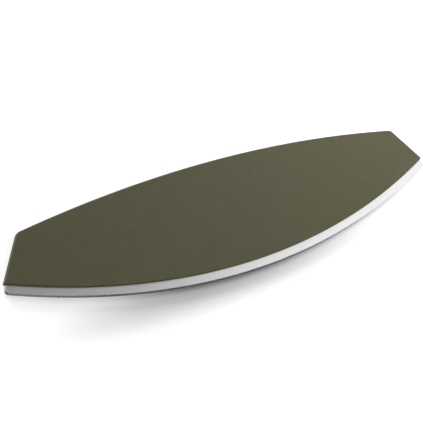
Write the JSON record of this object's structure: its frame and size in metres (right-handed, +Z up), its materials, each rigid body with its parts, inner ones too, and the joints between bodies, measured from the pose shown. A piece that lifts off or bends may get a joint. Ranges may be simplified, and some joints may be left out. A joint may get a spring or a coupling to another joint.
{
  "type": "pizza and herb knife",
  "caption": "Long rocking knife for pizza and herbs: a curved steel blade with its tang pinned between two flat boat-shaped covers.",
  "frame": {"origin": "on the outer face of the rear cover, under the middle of the outline, with the knife lying flat", "axes": "+X along the knife, +Y from the cutting edge to the spine, +Z up through the thickness, out of the front cover"},
  "size_m": [0.3716, 0.0842, 0.0045],
  "materials": {
    "cover": "fine matt olive green",
    "blade": "brushed along its length, ground edge",
    "pin": "plain drawn steel"
  },
  "bodies": {
    "root": {"blade": "blade", "front_cover": "cover", "rear_cover": "cover", "tang_pin_1": "pin", "tang_pin_2": "pin", "tang_pin_3": "pin", "tang_pin_4": "pin", "tang_pin_5": "pin", "tang_pin_6": "pin", "tang_pin_7": "pin", "tang_pin_8": "pin", "tang_pin_9": "pin"}
  },
  "joints": []
}
